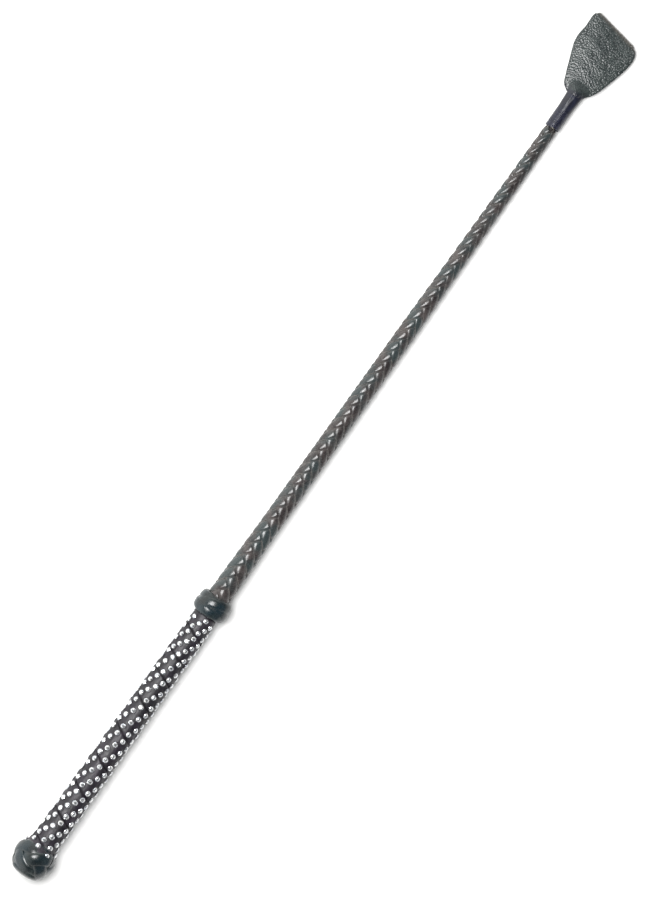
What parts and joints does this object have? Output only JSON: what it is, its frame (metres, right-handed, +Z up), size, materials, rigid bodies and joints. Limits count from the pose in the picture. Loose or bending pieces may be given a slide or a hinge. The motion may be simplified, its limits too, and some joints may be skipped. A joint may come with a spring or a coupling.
{
  "type": "riding crop",
  "caption": "Riding crop with a stone-studded handle, woven ball pommel and collar, tapering braided leather shaft and a folded leather keeper.",
  "frame": {"origin": "middle of the outer box in plan, on the flat surface that the crop lies on", "axes": "+X from the pommel to the keeper, lying along the crop; +Z up from the surface; +Y across the crop"},
  "size_m": [0.65, 0.0377, 0.028],
  "materials": {
    "fibreglass": "satin",
    "underlay": "matt",
    "thread": "matt",
    "steel": "satin",
    "strip_leather": "satin",
    "crystal": "polished, foil backed",
    "pommel_wood": "plain turned",
    "knot_leather": "glossy",
    "waxed_thread": "waxed",
    "neck_leather": "glossy",
    "keeper_leather": "pebbled, semi-gloss",
    "plait_leather": "glossy"
  },
  "bodies": {
    "crop": {"core_rod": "fibreglass", "shaft_filler": "underlay", "plait_root_whipping": "thread", "plait_tip_whipping": "thread", "grip_core": "underlay", "grip_tacks": "steel", "grip_strip": "strip_leather", "crystals": "crystal", "pommel_core": "pommel_wood", "pommel_lace": "knot_leather", "pommel_cap": "knot_leather", "collar_core": "underlay", "collar_lace": "knot_leather", "keeper_binding": "waxed_thread", "keeper_tongue": "neck_leather", "plait_lace_1": "plait_leather", "plait_lace_2": "plait_leather", "plait_lace_3": "plait_leather", "plait_lace_4": "plait_leather", "plait_lace_5": "plait_leather", "plait_lace_6": "plait_leather", "plait_lace_7": "plait_leather", "plait_lace_8": "plait_leather"},
    "keeper_flap": {"keeper": "keeper_leather"}
  },
  "joints": [
    {"name": "keeper_bend", "type": "hinge", "parent": "crop", "child": "keeper_flap", "pos_m": [0.26745, -0.001, 0.00497], "axis": [0, 1, 0], "range_deg": [-75, 75], "stiffness_Nm_per_rad": 0.08}
  ]
}
